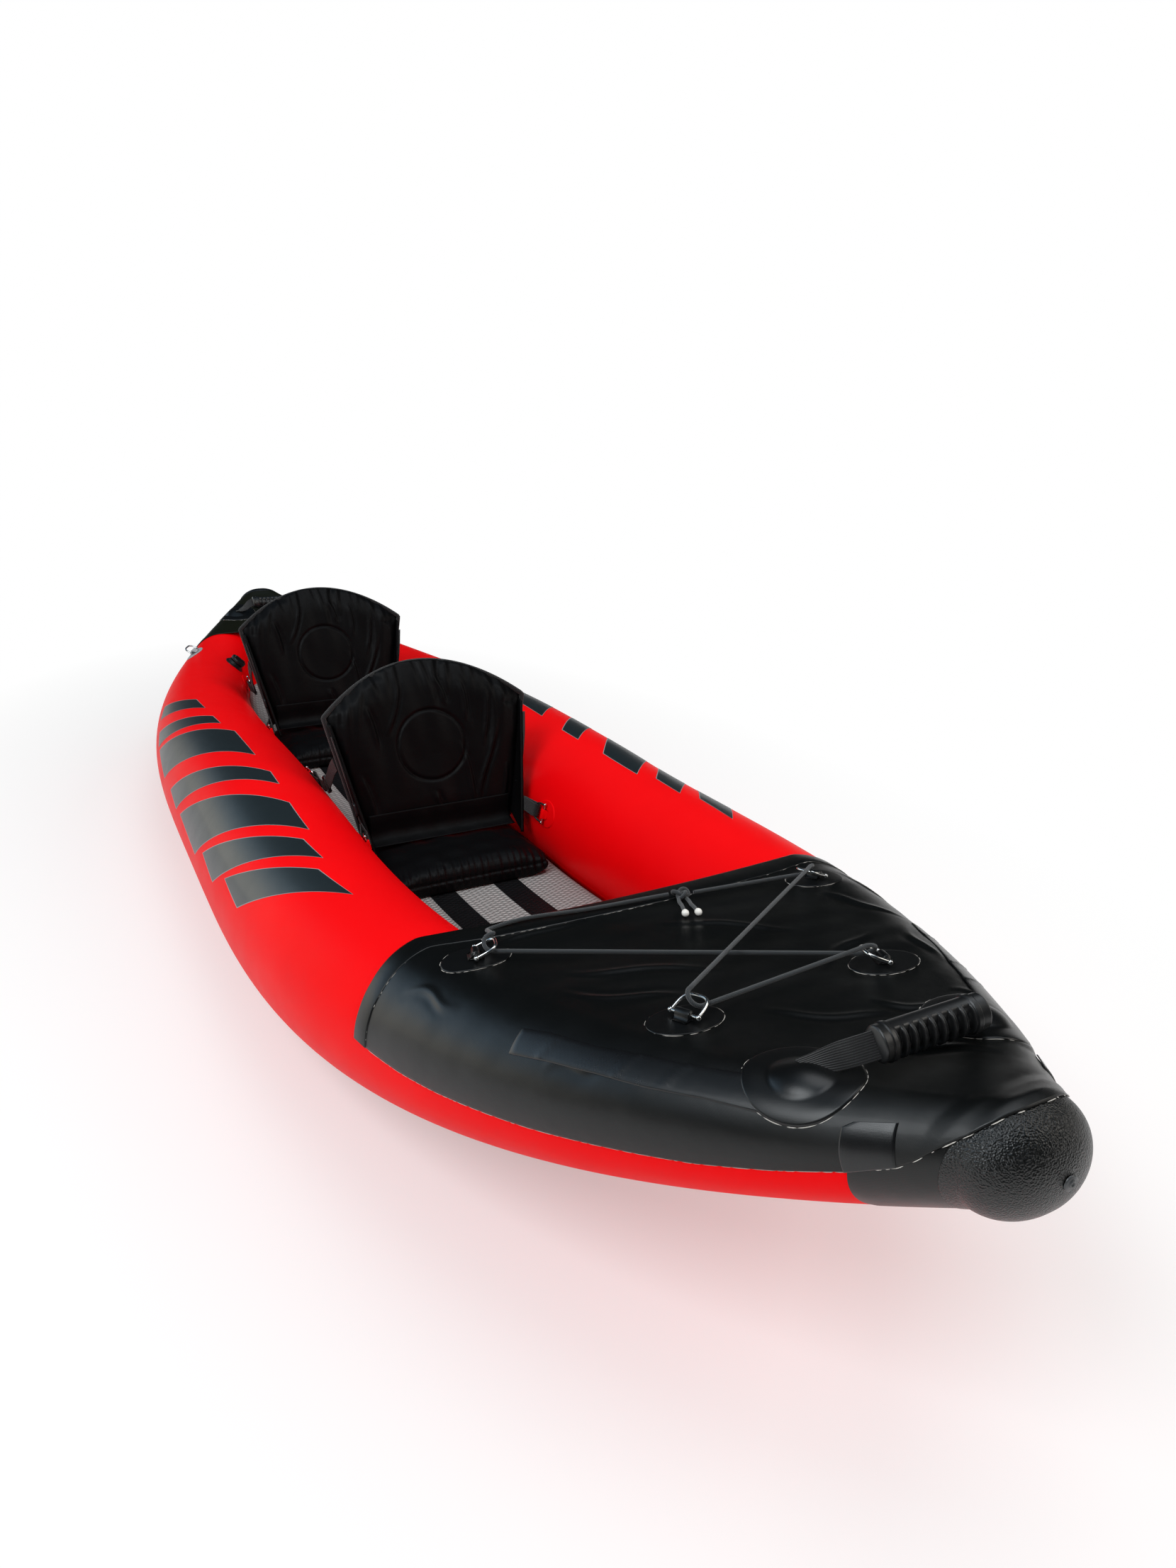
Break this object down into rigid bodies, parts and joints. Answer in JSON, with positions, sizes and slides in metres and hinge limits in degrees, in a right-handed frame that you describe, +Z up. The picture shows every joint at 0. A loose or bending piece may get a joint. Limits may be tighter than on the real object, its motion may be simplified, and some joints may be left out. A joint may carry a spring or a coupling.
{
  "type": "inflatable kayak",
  "caption": "Inflatable kayak with round side tubes, spray decks at both ends, padded seats on a flat floor, carry handles and bungee lacing.",
  "frame": {"origin": "middle of the footprint, on the ground under the flat middle of the bottom", "axes": "-Y towards the bow, +X to port, +Z up"},
  "size_m": [0.9, 3.0334, 0.4619],
  "materials": {
    "starboard_tube_red_pvc": "glossy PVC-coated fabric",
    "port_tube_red_pvc": "glossy PVC-coated fabric",
    "floor_panel_floor_fabric": "embossed drop-stitch fabric",
    "bottom_skin_red_pvc": "glossy PVC-coated fabric",
    "bow_deck_black_pvc": "glossy black PVC-coated fabric",
    "stern_deck_black_pvc": "glossy black PVC-coated fabric",
    "bow_cap_rubber": "moulded rubber",
    "stern_cap_rubber": "moulded rubber",
    "starboard_tube_valve_base_valve": "moulded plastic",
    "port_tube_valve_base_valve": "moulded plastic",
    "floor_valve_base_valve": "moulded plastic",
    "rear_starboard_deck_patch_rubber": "moulded rubber",
    "rear_port_deck_patch_rubber": "moulded rubber",
    "front_starboard_deck_patch_rubber": "moulded rubber",
    "front_port_deck_patch_rubber": "moulded rubber",
    "bungee_cord_bungee": "braided sheath",
    "bungee_knot_bungee": "braided sheath",
    "starboard_bead_grip": "moulded rubber",
    "port_bead_grip": "moulded rubber",
    "bow_starboard_handle_patch_rubber": "moulded rubber",
    "bow_port_handle_patch_rubber": "moulded rubber",
    "starboard_tow_patch_grey_pvc": "grey PVC-coated fabric",
    "port_tow_patch_grey_pvc": "grey PVC-coated fabric",
    "front_cushion_nylon": "coated nylon",
    "rear_cushion_nylon": "coated nylon",
    "front_backrest_nylon": "coated nylon",
    "front_starboard_gusset_nylon": "coated nylon",
    "front_starboard_fore_strap_webbing": "woven webbing",
    "front_starboard_aft_strap_webbing": "woven webbing",
    "front_port_gusset_nylon": "coated nylon",
    "front_port_fore_strap_webbing": "woven webbing",
    "front_port_aft_strap_webbing": "woven webbing",
    "rear_backrest_nylon": "coated nylon",
    "rear_starboard_gusset_nylon": "coated nylon",
    "rear_starboard_fore_strap_webbing": "woven webbing",
    "rear_starboard_aft_strap_webbing": "woven webbing",
    "rear_port_gusset_nylon": "coated nylon",
    "rear_port_fore_strap_webbing": "woven webbing",
    "rear_port_aft_strap_webbing": "woven webbing",
    "bow_handle_webbing_webbing": "woven webbing",
    "bow_handle_grip_grip": "moulded rubber",
    "stern_handle_webbing_webbing": "woven webbing",
    "stern_handle_grip_grip": "moulded rubber",
    "rear_starboard_deck_ring_steel": "polished stainless steel",
    "rear_port_deck_ring_steel": "polished stainless steel",
    "front_starboard_deck_ring_steel": "polished stainless steel",
    "front_port_deck_ring_steel": "polished stainless steel",
    "starboard_seat_ring_1_steel": "polished stainless steel",
    "starboard_seat_ring_2_steel": "polished stainless steel",
    "starboard_seat_ring_3_steel": "polished stainless steel",
    "starboard_seat_ring_4_steel": "polished stainless steel",
    "starboard_tow_ring_steel": "polished stainless steel",
    "port_seat_ring_1_steel": "polished stainless steel",
    "port_seat_ring_2_steel": "polished stainless steel",
    "port_seat_ring_3_steel": "polished stainless steel",
    "port_seat_ring_4_steel": "polished stainless steel",
    "port_tow_ring_steel": "polished stainless steel",
    "starboard_tube_valve_cap_valve": "moulded plastic",
    "port_tube_valve_cap_valve": "moulded plastic",
    "floor_valve_cap_valve": "moulded plastic"
  },
  "bodies": {
    "hull": {"starboard_tube": "starboard_tube_red_pvc", "port_tube": "port_tube_red_pvc", "floor_panel": "floor_panel_floor_fabric", "bottom_skin": "bottom_skin_red_pvc", "bow_deck": "bow_deck_black_pvc", "stern_deck": "stern_deck_black_pvc", "bow_cap": "bow_cap_rubber", "stern_cap": "stern_cap_rubber", "starboard_tube_valve_base": "starboard_tube_valve_base_valve", "port_tube_valve_base": "port_tube_valve_base_valve", "floor_valve_base": "floor_valve_base_valve", "rear_starboard_deck_patch": "rear_starboard_deck_patch_rubber", "rear_port_deck_patch": "rear_port_deck_patch_rubber", "front_starboard_deck_patch": "front_starboard_deck_patch_rubber", "front_port_deck_patch": "front_port_deck_patch_rubber", "bungee_cord": "bungee_cord_bungee", "bungee_knot": "bungee_knot_bungee", "starboard_bead": "starboard_bead_grip", "port_bead": "port_bead_grip", "bow_starboard_handle_patch": "bow_starboard_handle_patch_rubber", "bow_port_handle_patch": "bow_port_handle_patch_rubber", "starboard_tow_patch": "starboard_tow_patch_grey_pvc", "port_tow_patch": "port_tow_patch_grey_pvc", "front_cushion": "front_cushion_nylon", "rear_cushion": "rear_cushion_nylon"},
    "front_back": {"front_backrest": "front_backrest_nylon", "front_starboard_gusset": "front_starboard_gusset_nylon", "front_starboard_fore_strap": "front_starboard_fore_strap_webbing", "front_starboard_aft_strap": "front_starboard_aft_strap_webbing", "front_port_gusset": "front_port_gusset_nylon", "front_port_fore_strap": "front_port_fore_strap_webbing", "front_port_aft_strap": "front_port_aft_strap_webbing"},
    "rear_back": {"rear_backrest": "rear_backrest_nylon", "rear_starboard_gusset": "rear_starboard_gusset_nylon", "rear_starboard_fore_strap": "rear_starboard_fore_strap_webbing", "rear_starboard_aft_strap": "rear_starboard_aft_strap_webbing", "rear_port_gusset": "rear_port_gusset_nylon", "rear_port_fore_strap": "rear_port_fore_strap_webbing", "rear_port_aft_strap": "rear_port_aft_strap_webbing"},
    "bow_handle": {"bow_handle_webbing": "bow_handle_webbing_webbing", "bow_handle_grip": "bow_handle_grip_grip"},
    "stern_handle": {"stern_handle_webbing": "stern_handle_webbing_webbing", "stern_handle_grip": "stern_handle_grip_grip"},
    "rear_starboard_deck_ring_body": {"rear_starboard_deck_ring": "rear_starboard_deck_ring_steel"},
    "rear_port_deck_ring_body": {"rear_port_deck_ring": "rear_port_deck_ring_steel"},
    "front_starboard_deck_ring_body": {"front_starboard_deck_ring": "front_starboard_deck_ring_steel"},
    "front_port_deck_ring_body": {"front_port_deck_ring": "front_port_deck_ring_steel"},
    "starboard_seat_ring_1_body": {"starboard_seat_ring_1": "starboard_seat_ring_1_steel"},
    "starboard_seat_ring_2_body": {"starboard_seat_ring_2": "starboard_seat_ring_2_steel"},
    "starboard_seat_ring_3_body": {"starboard_seat_ring_3": "starboard_seat_ring_3_steel"},
    "starboard_seat_ring_4_body": {"starboard_seat_ring_4": "starboard_seat_ring_4_steel"},
    "starboard_tow_ring_body": {"starboard_tow_ring": "starboard_tow_ring_steel"},
    "port_seat_ring_1_body": {"port_seat_ring_1": "port_seat_ring_1_steel"},
    "port_seat_ring_2_body": {"port_seat_ring_2": "port_seat_ring_2_steel"},
    "port_seat_ring_3_body": {"port_seat_ring_3": "port_seat_ring_3_steel"},
    "port_seat_ring_4_body": {"port_seat_ring_4": "port_seat_ring_4_steel"},
    "port_tow_ring_body": {"port_tow_ring": "port_tow_ring_steel"},
    "starboard_tube_cap_body": {"starboard_tube_valve_cap": "starboard_tube_valve_cap_valve"},
    "port_tube_cap_body": {"port_tube_valve_cap": "port_tube_valve_cap_valve"},
    "floor_cap_body": {"floor_valve_cap": "floor_valve_cap_valve"}
  },
  "joints": [
    {"name": "front_backrest_tilt", "type": "hinge", "parent": "hull", "child": "front_back", "pos_m": [0, -0.082, 0.136], "axis": [1, 0, 0], "range_deg": [-12, 66], "deforming": ["front_starboard_gusset", "front_starboard_fore_strap", "front_starboard_aft_strap", "front_port_gusset", "front_port_fore_strap", "front_port_aft_strap"]},
    {"name": "rear_backrest_tilt", "type": "hinge", "parent": "hull", "child": "rear_back", "pos_m": [0, 0.688, 0.15109], "axis": [1, 0, 0], "range_deg": [-12, 66], "deforming": ["rear_starboard_gusset", "rear_starboard_fore_strap", "rear_starboard_aft_strap", "rear_port_gusset", "rear_port_fore_strap", "rear_port_aft_strap"]},
    {"name": "bow_handle_swing", "type": "hinge", "parent": "hull", "child": "bow_handle", "pos_m": [0, -1.32221, 0.38257], "axis": [1, 0, 0], "range_deg": [-115, 8], "deforming": ["bow_handle_webbing"]},
    {"name": "stern_handle_swing", "type": "hinge", "parent": "hull", "child": "stern_handle", "pos_m": [0, 1.34329, 0.31543], "axis": [1, 0, 0], "range_deg": [-98, 32], "deforming": ["stern_handle_webbing"]},
    {"name": "rear_starboard_deck_ring_pivot", "type": "hinge", "parent": "hull", "child": "rear_starboard_deck_ring_body", "pos_m": [-0.24604, -0.90556, 0.32509], "axis": [-0.3074, -0.946, 0.1031], "range_deg": [-5, 5]},
    {"name": "rear_port_deck_ring_pivot", "type": "hinge", "parent": "hull", "child": "rear_port_deck_ring_body", "pos_m": [0.24604, -0.90556, 0.32509], "axis": [-0.3074, 0.946, -0.1031], "range_deg": [-5, 5]},
    {"name": "front_starboard_deck_ring_pivot", "type": "hinge", "parent": "hull", "child": "front_starboard_deck_ring_body", "pos_m": [-0.12873, -1.16825, 0.35756], "axis": [0.3389, -0.931, 0.1354], "range_deg": [-5, 5]},
    {"name": "front_port_deck_ring_pivot", "type": "hinge", "parent": "hull", "child": "front_port_deck_ring_body", "pos_m": [0.12873, -1.16825, 0.35756], "axis": [0.3389, 0.931, -0.1354], "range_deg": [-5, 5]},
    {"name": "starboard_seat_ring_1_pivot", "type": "hinge", "parent": "hull", "child": "starboard_seat_ring_1_body", "pos_m": [-0.17199, -0.20004, 0.17388], "axis": [0.2419, 0, -0.9703], "range_deg": [-8, 10]},
    {"name": "starboard_seat_ring_2_pivot", "type": "hinge", "parent": "hull", "child": "starboard_seat_ring_2_body", "pos_m": [-0.1724, 0.21504, 0.17379], "axis": [-0.2419, 0, 0.9703], "range_deg": [-8, 10]},
    {"name": "starboard_seat_ring_3_pivot", "type": "hinge", "parent": "hull", "child": "starboard_seat_ring_3_body", "pos_m": [-0.17564, 0.56987, 0.16816], "axis": [0.2422, 0, -0.9702], "range_deg": [-8, 10]},
    {"name": "starboard_seat_ring_4_pivot", "type": "hinge", "parent": "hull", "child": "starboard_seat_ring_4_body", "pos_m": [-0.14271, 0.98388, 0.18665], "axis": [-0.2476, 0, 0.9689], "range_deg": [-8, 10]},
    {"name": "starboard_tow_ring_pivot", "type": "hinge", "parent": "hull", "child": "starboard_tow_ring_body", "pos_m": [-0.25951, 1.10069, 0.26204], "axis": [0.6755, 0.6755, 0.2957], "range_deg": [-60, 120]},
    {"name": "port_seat_ring_1_pivot", "type": "hinge", "parent": "hull", "child": "port_seat_ring_1_body", "pos_m": [0.17199, -0.20004, 0.17388], "axis": [0.2419, 0, 0.9703], "range_deg": [-8, 10]},
    {"name": "port_seat_ring_2_pivot", "type": "hinge", "parent": "hull", "child": "port_seat_ring_2_body", "pos_m": [0.1724, 0.21504, 0.17379], "axis": [-0.2419, 0, -0.9703], "range_deg": [-8, 10]},
    {"name": "port_seat_ring_3_pivot", "type": "hinge", "parent": "hull", "child": "port_seat_ring_3_body", "pos_m": [0.17564, 0.56987, 0.16816], "axis": [0.2422, 0, 0.9702], "range_deg": [-8, 10]},
    {"name": "port_seat_ring_4_pivot", "type": "hinge", "parent": "hull", "child": "port_seat_ring_4_body", "pos_m": [0.14271, 0.98388, 0.18665], "axis": [-0.2476, 0, -0.9689], "range_deg": [-8, 10]},
    {"name": "port_tow_ring_pivot", "type": "hinge", "parent": "hull", "child": "port_tow_ring_body", "pos_m": [0.25951, 1.10069, 0.26204], "axis": [0.6755, -0.6755, -0.2957], "range_deg": [-60, 120]},
    {"name": "starboard_tube_valve_cap_turn", "type": "hinge", "parent": "hull", "child": "starboard_tube_cap_body", "pos_m": [-0.16223, 1.01841, 0.23966], "axis": [0.6868, -0.1693, 0.7069], "range_deg": [0, 90]},
    {"name": "port_tube_valve_cap_turn", "type": "hinge", "parent": "hull", "child": "port_tube_cap_body", "pos_m": [0.16223, 1.01841, 0.23966], "axis": [-0.6868, -0.1693, 0.7069], "range_deg": [0, 90]},
    {"name": "floor_valve_cap_turn", "type": "hinge", "parent": "hull", "child": "floor_cap_body", "pos_m": [0, 0.99806, 0.15824], "axis": [0, -0.2066, 0.9784], "range_deg": [0, 90]}
  ]
}
